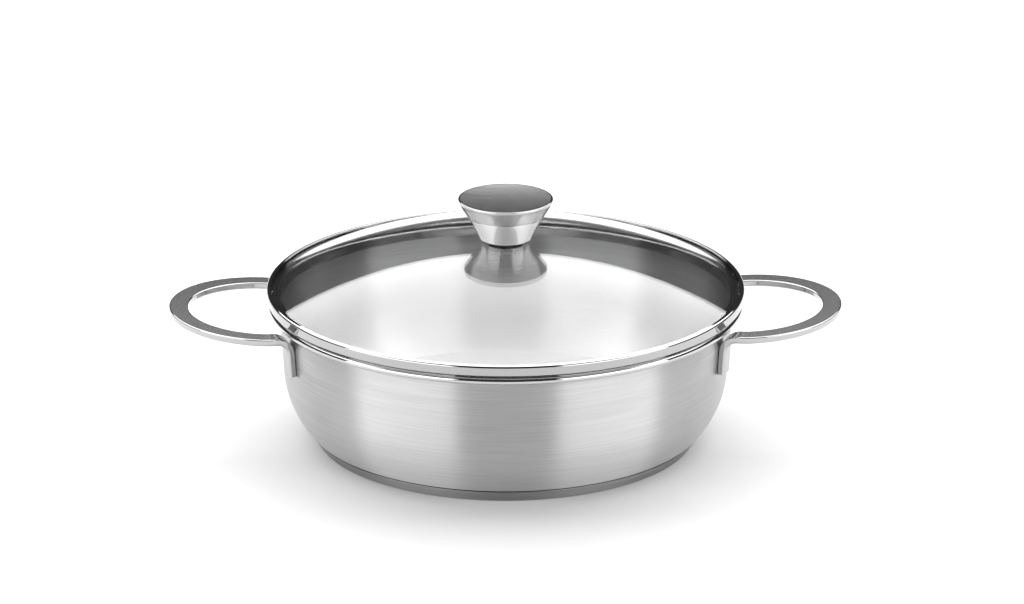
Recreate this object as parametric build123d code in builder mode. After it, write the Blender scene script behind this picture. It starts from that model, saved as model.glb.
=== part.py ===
from build123d import *

import math
import os

# A low two-handled braiser with a domed glass lid.
# The origin is the centre of the base's underside. +X runs through the two
# handles and +Z is up. All sizes are millimetres.

# Vessel: one drawn sheet with a flat floor, a wide belly curve, a slightly
# tapered wall and a lip that bends outwards over a crest and ends in a rolled curl.
vessel_sheet = 1.0
wall_taper = 3.5
rim_root_radius = 117.05
rim_root_height = 73.45
belly_radius = 50.0
belly_rise = 30.2
heel_radius = 2.5
lip_bend_radius = 1.0
lip_crest_radius = 5.6
lip_fall_angle = 45.0
curl_radius = 1.8
curl_turn = 150.0
lip_edge_radius = 0.4

# Base: an aluminium heat spreader under the floor, closed in by a thin cap.
cap_sheet = 0.6
cap_setback = 0.345
cap_side_run = 3.9
groove_height = 0.5
cap_edge_radius = 1.4
core_thickness = 6.0
core_side_gap = 0.1

# Handles: a flat bar bent to a ring, with both ends turned down as tabs that
# are welded flat on the wall.
handle_width = 9.8
handle_thickness = 3.8
ring_radius = 43.8
ring_reach = 7.95
ring_drop = 6.75
handle_rise = 3.1
bend_radius = 7.4
tab_length = 12.6
top_edge_radius = 0.6
under_edge_radius = 1.5
weld_gap = 0.1
tab_bite = 0.25

# Lid: a domed pane whose flat edge is held in a rolled steel band. The band
# rests on the lip's crest, and its skirt centres the lid inside the wall. Its
# upper edge is a hem, folded double, that lies on the pane and rises inwards.
lid_clearance = 0.2
glass_thickness = 3.8
dome_rise = 26.0
dome_foot_blend = 3.0
pane_flat_width = 3.8
band_overhang = 0.475
band_sheet = 0.5
band_glass_gap = 0.1
band_cover_gap = 0.6
band_hem_height = 1.25
band_hem_fall = 0.35
band_hem_round = 0.4
band_top_round = 1.2
band_bottom_round = 0.8
skirt_wall_gap = 0.85
skirt_depth = 4.6
skirt_blend = 0.6

# Knob: a hollow spun skirt closed by a shallow dish whose edge is rolled over
# the skirt. A threaded insert in the neck takes the screw from below.
knob_sheet = 0.8
knob_height = 21.3
knob_neck_radius = 13.2
knob_neck_round = 0.5
knob_rim_radius = 24.4
knob_flange_run = 4.4
knob_flange_drop = 8.7
knob_rim_depth = 1.5
knob_rim_land = 1.1
knob_rim_round = 0.5
knob_bead_round = 1.2
dish_depth = 0.6
dish_fold_inset = 1.5
skirt_curve_sag = 0.3
seam_gap = 0.2
nest_gap = 0.1
nest_length = 4.6

# Knob fixing: an M5 pan head screw, washer and two silicone seals.
screw_radius = 2.4
screw_length = 15.0
screw_head_radius = 4.75
screw_head_height = 3.0
screw_head_round = 1.2
recess_span = 5.0
recess_width = 1.2
recess_depth = 1.6
screw_clearance = 0.2
insert_radius = 5.0
insert_spigot_radius = 6.6
insert_spigot_gap = 0.1
insert_flange_width = 2.4
insert_flange_thickness = 1.5
insert_tip_gap = 2.1
insert_roof = 1.5
pane_hole_radius = 4.5
sleeve_gap = 0.1
sleeve_end_gap = 0.4
seal_gap = 0.05
upper_seal_thickness = 0.4
upper_seal_setback = 0.6
lower_seal_thickness = 1.6
lower_seal_width = 4.5
washer_setback = 1.0
washer_thickness = 1.0

# Heights and radii that follow from the sizes above.
taper_angle = math.radians(wall_taper)
fall_angle = math.radians(lip_fall_angle)
curl_end_angle = fall_angle - math.radians(curl_turn)
floor_height = cap_sheet + core_thickness
belly_top_height = floor_height + belly_rise


def wall_radius_at(height):
    """Outer radius of the straight wall at a height."""
    return rim_root_radius - (rim_root_height - height) * math.tan(taper_angle)


belly_centre_radius = wall_radius_at(belly_top_height) - belly_radius * math.cos(taper_angle)
belly_centre_height = belly_top_height + belly_radius * math.sin(taper_angle)


def vessel_points(inset):
    """Corners of the vessel's outer face, moved into the sheet by an inset."""
    belly = belly_radius - inset
    floor = floor_height + inset
    heel_run = math.sqrt(belly**2 - (belly_centre_height - floor) ** 2)
    over = vessel_sheet - inset
    return {
        "axis": Vector(0, floor),
        "heel": Vector(belly_centre_radius + heel_run, floor),
        "belly_top": Vector(
            belly_centre_radius + belly * math.cos(taper_angle),
            belly_centre_height - belly * math.sin(taper_angle),
        ),
        "root": Vector(
            rim_root_radius - inset * math.cos(taper_angle),
            rim_root_height + inset * math.sin(taper_angle),
        ),
        "crest": lip_bend_centre + Vector(0, lip_bend_radius + inset),
        "fall": crest_centre + toward(fall_angle) * (lip_crest_radius - over),
        "curl_end": curl_centre + toward(curl_end_angle) * (curl_radius - over),
    }


def toward(angle):
    """Unit vector in the section, at an angle above the outward direction."""
    return Vector(math.cos(angle), math.sin(angle))


# The lip bends out of the wall up to its crest, falls away from it on a wider
# arc, and ends in the curl. Each arc starts where the last one ends, tangent to it.
belly_centre = Vector(belly_centre_radius, belly_centre_height)
lip_bend_centre = Vector(
    rim_root_radius + lip_bend_radius * math.cos(taper_angle),
    rim_root_height - lip_bend_radius * math.sin(taper_angle),
)
crest_centre = lip_bend_centre + Vector(0, lip_bend_radius + vessel_sheet - lip_crest_radius)
curl_centre = crest_centre + toward(fall_angle) * (lip_crest_radius - curl_radius)
cap_top_radius = vessel_points(0)["heel"].X - cap_setback
cap_bottom_radius = cap_top_radius - cap_side_run
cap_height = floor_height - groove_height
ring_centre_distance = rim_root_radius + ring_reach
ring_centre_height = rim_root_height - ring_drop
lip_top_height = vessel_points(vessel_sheet)["crest"].Y
seat_height = lip_top_height + lid_clearance
pane_underside = seat_height + band_sheet
pane_top = pane_underside + glass_thickness
band_top = pane_top + band_hem_height
band_shoulder = band_top - band_hem_fall
band_radius = curl_centre.X + curl_radius + band_overhang
pane_radius = band_radius - band_sheet - band_glass_gap
pane_edge_radius = band_top_round - band_sheet + band_glass_gap
skirt_radius = vessel_points(vessel_sheet)["root"].X - skirt_wall_gap
dome_foot_radius = band_radius - pane_flat_width
apex_height = pane_top + dome_rise
dome_radius = (dome_foot_radius**2 + dome_rise**2) / (2 * dome_rise)
dome_slope = math.asin(dome_foot_radius / dome_radius)
blend_run = dome_foot_blend * math.tan(dome_slope / 2)
band_cover_radius = dome_foot_radius + blend_run + band_cover_gap
knob_base = apex_height + upper_seal_thickness
knob_top = knob_base + knob_height
seal_bottom = apex_height - glass_thickness - lower_seal_thickness
head_top = seal_bottom - washer_thickness
upper_seal_radius = knob_neck_radius - upper_seal_setback
lower_seal_radius = pane_hole_radius + lower_seal_width
washer_radius = lower_seal_radius - washer_setback
insert_flange_radius = insert_spigot_radius + insert_flange_width
insert_top = head_top + screw_length + insert_tip_gap + insert_roof


def dome_height(radius, offset):
    """Height of the dome at a radius, an offset above the pane's top face."""
    sphere = dome_radius + offset
    return apex_height - dome_radius + math.sqrt(sphere**2 - radius**2)


def arc_about(centre, start, end):
    """Arc from start to end about a centre, the short way round."""
    first, last = start - centre, end - centre
    middle = centre + (first + last).normalized() * first.length
    return ThreePointArc(start, middle, end)


def round_corners(profile, radius, *corners):
    """Fillet the corners of an open profile that lie nearest to the given points."""
    for corner in corners:
        fillet(profile.vertices().sort_by_distance(corner)[0], radius)


def draw_vessel_sheet():
    """Half section of the vessel's sheet, as lines and arcs."""
    outer = vessel_points(0)
    inner = vessel_points(vessel_sheet)
    Line(outer["axis"], outer["heel"])
    arc_about(belly_centre, outer["heel"], outer["belly_top"])
    Line(outer["belly_top"], outer["root"])
    arc_about(lip_bend_centre, outer["root"], outer["crest"])
    arc_about(crest_centre, outer["crest"], outer["fall"])
    arc_about(curl_centre, outer["fall"], outer["curl_end"])
    Line(outer["curl_end"], inner["curl_end"])
    arc_about(curl_centre, inner["curl_end"], inner["fall"])
    arc_about(crest_centre, inner["fall"], inner["crest"])
    arc_about(lip_bend_centre, inner["crest"], inner["root"])
    Line(inner["root"], inner["belly_top"])
    arc_about(belly_centre, inner["belly_top"], inner["heel"])
    Polyline(inner["heel"], inner["axis"], outer["axis"])


def draw_dome_piece(inner_radius, outer_radius, low, high):
    """Ring section between two edges, each a flat height or an offset of the dome."""
    corners = []
    for kind, value in (low, high):
        if kind == "flat":
            corners.append((Vector(inner_radius, value), Vector(outer_radius, value)))
        else:
            corners.append(
                (
                    Vector(inner_radius, dome_height(inner_radius, value)),
                    Vector(outer_radius, dome_height(outer_radius, value)),
                )
            )
    (low_in, low_out), (high_in, high_out) = corners
    centre = Vector(0, apex_height - dome_radius)
    for (kind, _), start, end in ((low, low_in, low_out), (high, high_in, high_out)):
        if kind == "flat":
            Line(start, end)
        else:
            arc_about(centre, start, end)
    Line(low_out, high_out)
    Line(low_in, high_in)


# Vessel
os.makedirs("parts", exist_ok=True)

with BuildPart() as pot_body:
    with BuildSketch(Plane.XZ) as profile:
        with BuildLine():
            draw_vessel_sheet()
        make_face()
        round_corners(profile, heel_radius, vessel_points(0)["heel"])
        round_corners(profile, heel_radius - vessel_sheet, vessel_points(vessel_sheet)["heel"])
        lip_corners = (vessel_points(0)["curl_end"], vessel_points(vessel_sheet)["curl_end"])
        round_corners(profile, lip_edge_radius, *lip_corners)
    revolve(axis=Axis.Z)
pot_body.part.label = "pot_body"

# Base
cap_lean = math.atan2(cap_top_radius - cap_bottom_radius, cap_height)
cap_wall_run = cap_sheet / math.cos(cap_lean)


def cap_inner_radius_at(height):
    """Inner radius of the cap's leaning side at a height."""
    return cap_bottom_radius + height * math.tan(cap_lean) - cap_wall_run


with BuildPart() as base_cap:
    with BuildSketch(Plane.XZ) as profile:
        with BuildLine():
            Polyline(
                (0, 0),
                (cap_bottom_radius, 0),
                (cap_top_radius, cap_height),
                (cap_inner_radius_at(cap_height), cap_height),
                (cap_inner_radius_at(cap_sheet), cap_sheet),
                (0, cap_sheet),
                close=True,
            )
        make_face()
        round_corners(profile, cap_edge_radius, Vector(cap_bottom_radius, 0))
        cap_inner_corner = Vector(cap_inner_radius_at(cap_sheet), cap_sheet)
        round_corners(profile, cap_edge_radius - cap_sheet, cap_inner_corner)
    revolve(axis=Axis.Z)
base_cap.part.label = "base_cap"

with BuildPart() as base_core:
    core_bottom_radius = cap_inner_radius_at(cap_sheet) - core_side_gap
    core_top_radius = cap_inner_radius_at(cap_height) - core_side_gap
    with BuildSketch(Plane.XZ) as profile:
        with BuildLine():
            Polyline(
                (0, cap_sheet),
                (core_bottom_radius, cap_sheet),
                (core_top_radius, cap_height),
                (core_top_radius, floor_height),
                (0, floor_height),
                close=True,
            )
        make_face()
        core_edge_radius = cap_edge_radius - cap_sheet + core_side_gap
        round_corners(profile, core_edge_radius, Vector(core_bottom_radius, cap_sheet))
    revolve(axis=Axis.Z)
base_core.part.label = "base_core"

# Handles
rise_angle = math.radians(handle_rise)
bend_angle = math.radians(90 - handle_rise - wall_taper)
bend_run = bend_radius * math.sin(bend_angle)
bend_drop = bend_radius * (1 - math.cos(bend_angle))
tab_root_height = ring_centre_height - bend_drop
tab_radius = wall_radius_at(tab_root_height) + weld_gap + handle_thickness / 2 - tab_bite
leg_end_distance = tab_radius + bend_run
# The ring's end arc is tangent to the ring's leg and to a line through the
# vessel's axis, so each tab meets the wall squarely.
leg_turn = 2 * math.atan2(ring_radius, ring_centre_distance + leg_end_distance)


def handle_path_points(side):
    """Points of the bar's middle line on one leg, in the ring's plane."""
    outward = Vector(math.cos(leg_turn), side * math.sin(leg_turn), 0)
    down = Vector(0, 0, -1)
    leg_end = outward * leg_end_distance
    tab_root = leg_end - outward * bend_run + down * bend_drop
    tab_end = tab_root + (down * math.sin(bend_angle) - outward * math.cos(bend_angle)) * tab_length
    ring_end = Vector(ring_centre_distance, side * ring_radius, 0)
    return tab_end, tab_root, leg_end, ring_end


def make_handle(direction):
    """One handle on the side of the vessel that the direction, 1 or -1, points to."""
    plane = Plane(
        origin=(0, 0, ring_centre_height - ring_centre_distance * math.tan(rise_angle)),
        x_dir=(direction * math.cos(rise_angle), 0, math.sin(rise_angle)),
        z_dir=(-direction * math.sin(rise_angle), 0, math.cos(rise_angle)),
    )
    first = [plane.from_local_coords(point) for point in handle_path_points(-1)]
    last = [plane.from_local_coords(point) for point in handle_path_points(1)]
    with BuildPart() as handle:
        with BuildLine() as path:
            tab = Line(first[0], first[1])
            bend = TangentArc(first[1], first[2], tangent=tab % 1)
            leg = TangentArc(first[2], first[3], tangent=bend % 1)
            ring = TangentArc(first[3], last[3], tangent=leg % 1)
            far_leg = TangentArc(last[3], last[2], tangent=ring % 1)
            far_bend = TangentArc(last[2], last[1], tangent=far_leg % 1)
            Line(last[1], last[0])
        width_direction = plane.z_dir.cross(bend % 1)
        section_plane = Plane(origin=tab @ 0, x_dir=width_direction, z_dir=tab % 0)
        with BuildSketch(section_plane) as profile:
            Rectangle(handle_width, handle_thickness)
            half = handle_width / 2
            top, under = handle_thickness / 2, -handle_thickness / 2
            round_corners(profile, top_edge_radius, Vector(half, top), Vector(-half, top))
            round_corners(profile, under_edge_radius, Vector(half, under), Vector(-half, under))
        sweep(path=path.line)
        with BuildSketch(Plane.XZ) as profile:
            with BuildLine():
                seat = vessel_points(-weld_gap)
                Polyline(seat["axis"], seat["heel"])
                arc_about(belly_centre, seat["heel"], seat["belly_top"])
                Polyline(seat["belly_top"], seat["root"], Vector(0, seat["root"].Y), seat["axis"])
            make_face()
        revolve(axis=Axis.Z, mode=Mode.SUBTRACT)
    return handle


handle_left = make_handle(-1)
handle_left.part.label = "handle_left"
handle_right = make_handle(1)
handle_right.part.label = "handle_right"

# Lid pane and band
with BuildPart() as lid_glass:
    under_offset = -glass_thickness
    under_sphere = dome_radius - glass_thickness
    under_foot_radius = math.sqrt(under_sphere**2 - (pane_underside - apex_height + dome_radius) ** 2)
    dome_centre = Vector(0, apex_height - dome_radius)
    top_hole = Vector(pane_hole_radius, dome_height(pane_hole_radius, 0))
    under_hole = Vector(pane_hole_radius, dome_height(pane_hole_radius, under_offset))
    top_foot = Vector(dome_foot_radius, pane_top)
    under_foot = Vector(under_foot_radius, pane_underside)
    edge_top = Vector(pane_radius, pane_top)
    edge_bottom = Vector(pane_radius, pane_underside)
    with BuildSketch(Plane.XZ) as profile:
        with BuildLine():
            arc_about(dome_centre, top_hole, top_foot)
            Polyline(top_foot, edge_top, edge_bottom, under_foot)
            arc_about(dome_centre, under_foot, under_hole)
            Line(under_hole, top_hole)
        make_face()
        round_corners(profile, pane_edge_radius, edge_top, edge_bottom)
        round_corners(profile, dome_foot_blend, top_foot)
        round_corners(profile, dome_foot_blend + glass_thickness, under_foot)
    revolve(axis=Axis.Z)
lid_glass.part.label = "lid_glass"

with BuildPart() as lid_rim_band:
    band_inner_radius = band_radius - band_sheet
    skirt_inner_radius = skirt_radius - band_sheet
    skirt_bottom = seat_height - skirt_depth
    with BuildSketch(Plane.XZ) as profile:
        with BuildLine():
            Polyline(
                (skirt_inner_radius, skirt_bottom),
                (skirt_radius, skirt_bottom),
                (skirt_radius, seat_height),
                (band_radius, seat_height),
                (band_radius, band_shoulder),
                (band_cover_radius, band_top),
                (band_cover_radius, pane_top),
                (band_inner_radius, pane_top),
                (band_inner_radius, pane_underside),
                (skirt_inner_radius, pane_underside),
                close=True,
            )
        make_face()
        round_corners(profile, band_top_round, Vector(band_radius, band_shoulder))
        round_corners(profile, band_hem_round, Vector(band_cover_radius, band_top))
        round_corners(profile, band_top_round - band_sheet, Vector(band_inner_radius, pane_top))
        round_corners(profile, band_bottom_round, Vector(band_radius, seat_height))
        round_corners(profile, band_bottom_round - band_sheet, Vector(band_inner_radius, pane_underside))
        round_corners(profile, skirt_blend, Vector(skirt_radius, seat_height))
        round_corners(profile, skirt_blend + band_sheet, Vector(skirt_inner_radius, pane_underside))
    revolve(axis=Axis.Z)
lid_rim_band.part.label = "lid_rim_band"

# Knob shells
seam = Vector(knob_rim_radius - knob_flange_run, knob_top - knob_flange_drop)
bead_foot = Vector(knob_rim_radius, knob_top - knob_rim_depth)
flange_direction = (bead_foot - seam).normalized()
flange_inward = Vector(-flange_direction.Y, flange_direction.X)
dish_edge = Vector(knob_rim_radius - knob_rim_land, knob_top)
dish_sphere = (dish_edge.X**2 + dish_depth**2) / (2 * dish_depth)
dish_centre = Vector(0, knob_top - dish_depth + dish_sphere)

with BuildPart() as knob_dish:
    fold_radius = dish_edge.X - knob_sheet
    under_reach = math.sqrt((dish_sphere + knob_sheet) ** 2 - fold_radius**2)
    fold = Vector(fold_radius, dish_centre.Y - under_reach)
    flange_inner_top = bead_foot + flange_inward * knob_sheet - flange_direction * dish_fold_inset
    with BuildSketch(Plane.XZ) as profile:
        with BuildLine():
            arc_about(dish_centre, Vector(0, knob_top - dish_depth), dish_edge)
            Polyline(dish_edge, Vector(knob_rim_radius, knob_top), bead_foot, seam)
            Polyline(seam, seam + flange_inward * knob_sheet, flange_inner_top, fold)
            arc_about(dish_centre, fold, Vector(0, knob_top - dish_depth - knob_sheet))
            Line((0, knob_top - dish_depth - knob_sheet), (0, knob_top - dish_depth))
        make_face()
        round_corners(profile, knob_rim_round, Vector(knob_rim_radius, knob_top), dish_edge)
        round_corners(profile, knob_bead_round, bead_foot)
    revolve(axis=Axis.Z)
knob_dish.part.label = "knob_dish"

with BuildPart() as knob_skirt:
    neck = Vector(knob_neck_radius, knob_base)
    skirt_top = seam - flange_direction * seam_gap
    nest_start = seam + flange_inward * (knob_sheet + nest_gap)
    nest_end = nest_start + flange_direction * nest_length
    nest_back = nest_end + flange_inward * knob_sheet
    skirt_line = (skirt_top - neck).normalized()
    skirt_middle = (neck + skirt_top) / 2 + Vector(-skirt_line.Y, skirt_line.X) * skirt_curve_sag
    hole_radius = insert_spigot_radius + insert_spigot_gap
    base_top = knob_base + knob_sheet
    with BuildSketch(Plane.XZ) as profile:
        with BuildLine():
            Line((hole_radius, knob_base), neck)
            ThreePointArc(neck, skirt_middle, skirt_top)
            Polyline(skirt_top, nest_start, nest_end, nest_back)
            Polyline(
                nest_back,
                (knob_neck_radius - knob_sheet, base_top),
                (hole_radius, base_top),
                (hole_radius, knob_base),
            )
        make_face()
        round_corners(profile, knob_neck_round, neck)
    revolve(axis=Axis.Z)
knob_skirt.part.label = "knob_skirt"

# Knob fixing
bore_radius = screw_radius + screw_clearance

with BuildPart() as knob_insert:
    flange_top = base_top + insert_flange_thickness
    with BuildSketch(Plane.XZ) as profile:
        with BuildLine():
            Polyline(
                (bore_radius, knob_base),
                (insert_spigot_radius, knob_base),
                (insert_spigot_radius, base_top),
                (insert_flange_radius, base_top),
                (insert_flange_radius, flange_top),
                (insert_radius, flange_top),
                (insert_radius, insert_top),
                (0, insert_top),
                (0, insert_top - insert_roof),
                (bore_radius, insert_top - insert_roof),
                close=True,
            )
        make_face()
    revolve(axis=Axis.Z)
knob_insert.part.label = "knob_insert"

with BuildPart() as knob_seal_upper:
    with BuildSketch(Plane.XZ) as profile:
        with BuildLine():
            draw_dome_piece(bore_radius, upper_seal_radius, ("dome", seal_gap), ("flat", knob_base))
        make_face()
    revolve(axis=Axis.Z)
knob_seal_upper.part.label = "knob_seal_upper"

sleeve_top = apex_height - sleeve_end_gap

with BuildPart() as knob_seal_lower:
    sleeve_radius = pane_hole_radius - sleeve_gap
    under_seal_offset = -glass_thickness - seal_gap
    with BuildSketch(Plane.XZ) as profile:
        with BuildLine():
            draw_dome_piece(
                bore_radius, lower_seal_radius, ("flat", seal_bottom), ("dome", under_seal_offset)
            )
        make_face()
    revolve(axis=Axis.Z)
    with BuildSketch(Plane.XY.offset(seal_bottom)):
        Circle(sleeve_radius)
        Circle(bore_radius, mode=Mode.SUBTRACT)
    extrude(amount=sleeve_top - seal_bottom)
knob_seal_lower.part.label = "knob_seal_lower"

with BuildPart() as knob_washer:
    with BuildSketch(Plane.XY.offset(seal_bottom)):
        Circle(washer_radius)
        Circle(bore_radius, mode=Mode.SUBTRACT)
    extrude(amount=-washer_thickness)
knob_washer.part.label = "knob_washer"

with BuildPart() as knob_screw:
    head_bottom = head_top - screw_head_height
    with BuildSketch(Plane.XY.offset(head_top)):
        Circle(screw_radius)
    extrude(amount=screw_length)
    with BuildSketch(Plane.XY.offset(head_top)):
        Circle(screw_head_radius)
    extrude(amount=-screw_head_height)
    fillet(knob_screw.faces().sort_by(Axis.Z)[0].edges(), screw_head_round)
    with BuildSketch(Plane.XY.offset(head_bottom)):
        Rectangle(recess_span, recess_width)
        Rectangle(recess_width, recess_span)
    extrude(amount=recess_depth, mode=Mode.SUBTRACT)
knob_screw.part.label = "knob_screw"

export_step(pot_body.part, "parts/pot_body.step")
export_step(base_cap.part, "parts/base_cap.step")
export_step(base_core.part, "parts/base_core.step")
export_step(handle_left.part, "parts/handle_left.step")
export_step(handle_right.part, "parts/handle_right.step")
export_step(lid_glass.part, "parts/lid_glass.step")
export_step(lid_rim_band.part, "parts/lid_rim_band.step")
export_step(knob_dish.part, "parts/knob_dish.step")
export_step(knob_skirt.part, "parts/knob_skirt.step")
export_step(knob_insert.part, "parts/knob_insert.step")
export_step(knob_seal_upper.part, "parts/knob_seal_upper.step")
export_step(knob_seal_lower.part, "parts/knob_seal_lower.step")
export_step(knob_washer.part, "parts/knob_washer.step")
export_step(knob_screw.part, "parts/knob_screw.step")
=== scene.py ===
# %% [markdown]
# # A low steel braiser with a domed glass lid
#
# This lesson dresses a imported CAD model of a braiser: a wide, low pan with two flat ring
# handles, a heat-spreading base, and a glass lid with a steel band and a conical knob.
#
# Almost everything on such a pan is turned, drawn or spun: its shape is one section, swept
# round the axis. So the lesson draws sections and turns them with one Geometry Nodes tree.
# The two handles are a flat bar bent along a path, which is the job of a second tree.
#
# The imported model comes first. Every piece that follows lies in its frame, in metres.

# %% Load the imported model
import math

import bpy
from mathutils import Matrix, Vector


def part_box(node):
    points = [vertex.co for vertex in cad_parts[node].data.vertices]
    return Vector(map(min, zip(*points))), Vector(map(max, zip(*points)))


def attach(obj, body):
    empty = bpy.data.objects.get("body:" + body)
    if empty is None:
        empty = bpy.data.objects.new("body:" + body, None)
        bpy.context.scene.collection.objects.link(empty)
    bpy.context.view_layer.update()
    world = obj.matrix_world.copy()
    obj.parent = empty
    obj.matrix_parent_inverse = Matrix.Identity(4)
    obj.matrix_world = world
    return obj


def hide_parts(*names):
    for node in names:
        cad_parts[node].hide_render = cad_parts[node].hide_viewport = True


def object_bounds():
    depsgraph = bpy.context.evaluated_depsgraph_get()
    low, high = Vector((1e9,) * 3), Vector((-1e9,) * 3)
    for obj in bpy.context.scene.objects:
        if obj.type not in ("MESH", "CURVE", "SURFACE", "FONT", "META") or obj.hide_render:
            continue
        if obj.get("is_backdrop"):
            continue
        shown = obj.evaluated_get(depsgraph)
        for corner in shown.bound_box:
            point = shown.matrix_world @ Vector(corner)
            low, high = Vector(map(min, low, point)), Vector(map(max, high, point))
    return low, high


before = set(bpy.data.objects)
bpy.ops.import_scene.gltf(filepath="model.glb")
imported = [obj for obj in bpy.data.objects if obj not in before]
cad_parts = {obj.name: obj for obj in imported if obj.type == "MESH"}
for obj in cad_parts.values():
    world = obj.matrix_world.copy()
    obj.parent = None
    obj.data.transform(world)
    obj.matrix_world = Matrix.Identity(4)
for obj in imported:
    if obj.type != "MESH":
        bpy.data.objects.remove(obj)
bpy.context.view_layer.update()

for name in sorted(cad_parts):
    low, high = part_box(name)
    spans = [round((b - a) * 1000, 1) for a, b in zip(low, high)]
    print(f"{name}: {spans} mm")

# %% [markdown]
# ## Sizes
#
# The CAD model's own sizes are repeated here in millimetres, because this script can't read
# its source. Only the pieces that are remade for the picture need theirs. The heights of the
# lid follow from each other: the lip carries the band, the band the pane, the pane the knob.

# %% Sizes of the vessel and its base
MM = 0.001
vessel_sheet = 1.0
rim_root = Vector((117.05, 73.45))
taper = math.radians(3.5)
belly_radius, belly_top_height = 50.0, 36.8
floor_height = 6.6
bend_out_radius, crest_radius, curl_radius = 1.0, 5.6, 1.8
fall_angle, curl_end_angle = math.radians(45), math.radians(45 - 150)
cap_sheet, cap_bottom_radius, cap_top_radius, cap_height = 0.6, 98.0, 101.9, 6.1


def wall_radius_at(height):
    """Outer radius of the straight wall, which leans out by the taper."""
    return rim_root.x - (rim_root.y - height) * math.tan(taper)


belly_centre = Vector(
    (
        wall_radius_at(belly_top_height) - belly_radius * math.cos(taper),
        belly_top_height + belly_radius * math.sin(taper),
    )
)


def toward(angle):
    """A unit direction in the section, at an angle above straight out."""
    return Vector((math.cos(angle), math.sin(angle)))


bend_out_centre = rim_root + toward(-taper) * bend_out_radius
crest_centre = bend_out_centre + Vector((0, bend_out_radius + vessel_sheet - crest_radius))
curl_centre = crest_centre + toward(fall_angle) * (crest_radius - curl_radius)


def vessel_corners(inset):
    """Corners of the vessel's section, moved into the sheet by an inset."""
    belly, over = belly_radius - inset, vessel_sheet - inset
    rise = belly_centre.y - floor_height - inset
    return {
        "axis": Vector((0, floor_height + inset)),
        "heel": Vector((belly_centre.x + math.sqrt(belly**2 - rise**2), floor_height + inset)),
        "belly_top": belly_centre + Vector((math.cos(taper), -math.sin(taper))) * belly,
        "root": rim_root + Vector((-math.cos(taper), math.sin(taper))) * inset,
        "crest": bend_out_centre + Vector((0, bend_out_radius + inset)),
        "fall": crest_centre + toward(fall_angle) * (crest_radius - over),
        "curl_end": curl_centre + toward(curl_end_angle) * (curl_radius - over),
    }


outside, inside = vessel_corners(0), vessel_corners(vessel_sheet)
print("lip's crest at", round(inside["crest"].y, 2), "mm")

# %% Sizes of the lid and its knob
glass_thickness, band_sheet, glass_gap = 3.8, 0.5, 0.1
lid_clearance, skirt_gap, skirt_depth, band_overhang = 0.2, 0.85, 4.6, 0.475
hem_height, hem_fall, hem_gap = 1.25, 0.35, 0.6
pane_flat_width, foot_blend, dome_rise = 3.8, 3.0, 26.0
seat_height = inside["crest"].y + lid_clearance
pane_underside = seat_height + band_sheet
pane_top = pane_underside + glass_thickness
band_top = pane_top + hem_height
band_shoulder = band_top - hem_fall
band_radius = curl_centre.x + curl_radius + band_overhang
skirt_radius, skirt_bottom = inside["root"].x - skirt_gap, seat_height - skirt_depth
dome_foot_radius, apex_height = band_radius - pane_flat_width, pane_top + dome_rise
dome_radius = (dome_foot_radius**2 + dome_rise**2) / (2 * dome_rise)
dome_centre = Vector((0, apex_height - dome_radius))
foot_run = foot_blend * math.tan(math.asin(dome_foot_radius / dome_radius) / 2)
cover_radius = dome_foot_radius + foot_run + hem_gap
knob_sheet, knob_height, upper_seal_thickness = 0.8, 21.3, 0.4
knob_neck_radius, knob_rim_radius, rim_land, dish_depth = 13.2, 24.4, 1.1, 0.6
knob_base = apex_height + upper_seal_thickness
knob_top = knob_base + knob_height
dish_edge = Vector((knob_rim_radius - rim_land, knob_top))


def dome_height(radius, offset):
    """Height of the dome at a radius, an offset above the pane's top face."""
    return dome_centre.y + math.sqrt((dome_radius + offset) ** 2 - radius**2)


print("dome's sphere", round(dome_radius, 1), "mm, knob's top at", round(knob_top, 2), "mm")

# %% [markdown]
# ## Drawing a section
#
# A section is a list of edges, straight or bowed, that meet at corners. Real sheet metal and
# glass have no sharp corners, and it is the small rounds that catch the light, so each
# corner is cut back and joined by a smooth blend. Every point also keeps the direction that
# its surface faces. These directions become the mesh's normals, so a reflection runs
# over flats, blends and bows without a break.

# %% Helpers that draw a section
def straight(start, end):
    """An edge that runs straight: its length, its point and heading at a distance, and the
    number of pieces that it needs."""
    start, end = Vector(start), Vector(end)
    length = (end - start).length
    heading = (end - start) / length
    return length, lambda distance: (start + heading * distance, heading), 1


def straights(*corners):
    """Straight edges from corner to corner."""
    return [straight(a, b) for a, b in zip(corners, corners[1:])]


def bowed(start, end, centre, widest_step=math.radians(6), longest_step=2.0):
    """An edge on a circle about a centre, the short way round."""
    start, end, centre = Vector(start), Vector(end), Vector(centre)
    first, last = start - centre, end - centre
    turn = math.atan2(first.x * last.y - first.y * last.x, first.dot(last))
    radius, begin, way = first.length, math.atan2(first.y, first.x), math.copysign(1, turn)
    length = radius * abs(turn)

    def at(distance):
        angle = begin + way * distance / radius
        out = Vector((math.cos(angle), math.sin(angle)))
        return centre + out * radius, Vector((-out.y, out.x)) * way

    return length, at, max(math.ceil(abs(turn) / widest_step), round(length / longest_step))


def blend_points(start, start_heading, end, end_heading, count=7):
    """Points and headings of a smooth round from one edge to the next."""
    turn = start_heading.angle(end_heading)
    reach = 4 / 3 * math.tan(turn / 4) * (end - start).length / (2 * math.sin(turn / 2))
    a, b, c, d = start, start + start_heading * reach, end - end_heading * reach, end
    points = []
    for step in range(1, count):
        t = step / count
        s = 1 - t
        point = a * s**3 + b * (3 * s * s * t) + c * (3 * s * t * t) + d * t**3
        heading = (b - a) * (s * s) + (c - b) * (2 * s * t) + (d - c) * (t * t)
        points.append((point, heading.normalized()))
    return points


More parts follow.
